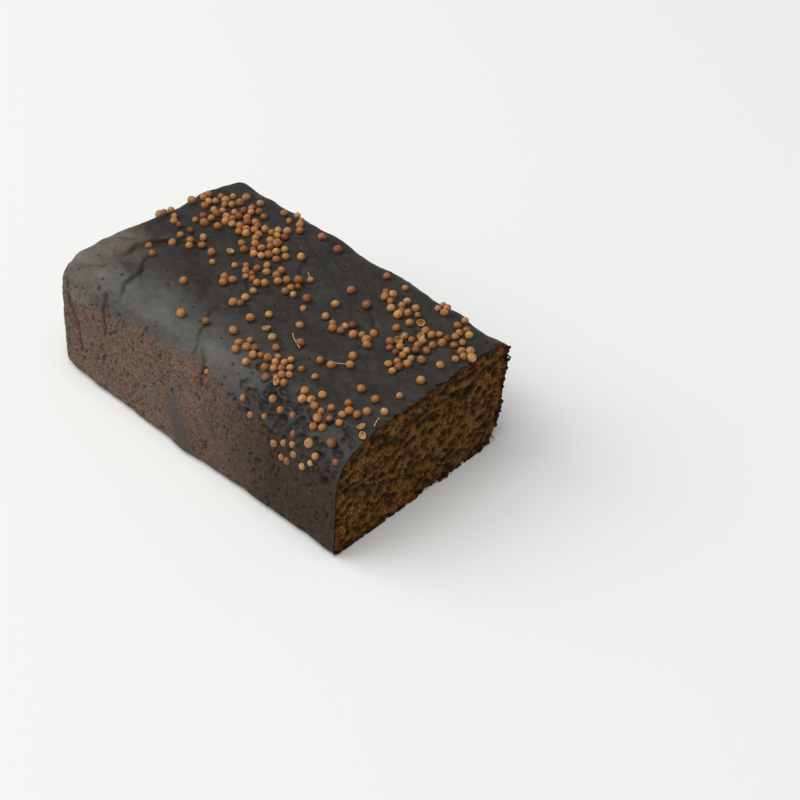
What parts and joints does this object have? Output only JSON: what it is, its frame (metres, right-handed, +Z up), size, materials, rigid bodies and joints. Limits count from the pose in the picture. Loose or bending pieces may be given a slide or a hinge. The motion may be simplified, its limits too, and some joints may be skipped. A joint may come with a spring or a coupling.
{
  "type": "rye bread loaf",
  "caption": "Cut loaf of dark tin-baked rye bread, its smooth top strewn with whole coriander seeds and one end sliced off square to show the open brown crumb.",
  "frame": {"origin": "middle of the loaf's footprint, on the surface it rests on", "axes": "+X along the length, from the baked heel to the cut face; +Y across to the long side with the tighter shoulder; +Z up"},
  "size_m": [0.155, 0.0944, 0.0505],
  "materials": {
    "crust": "near-black baked crust, satin on top and pitted brown on the sides",
    "crumb": "matte open rye crumb with dark pores",
    "coriander": "dry ribbed tan seeds, some split or browned"
  },
  "bodies": {
    "root": {"loaf": "crust"}
  },
  "joints": []
}
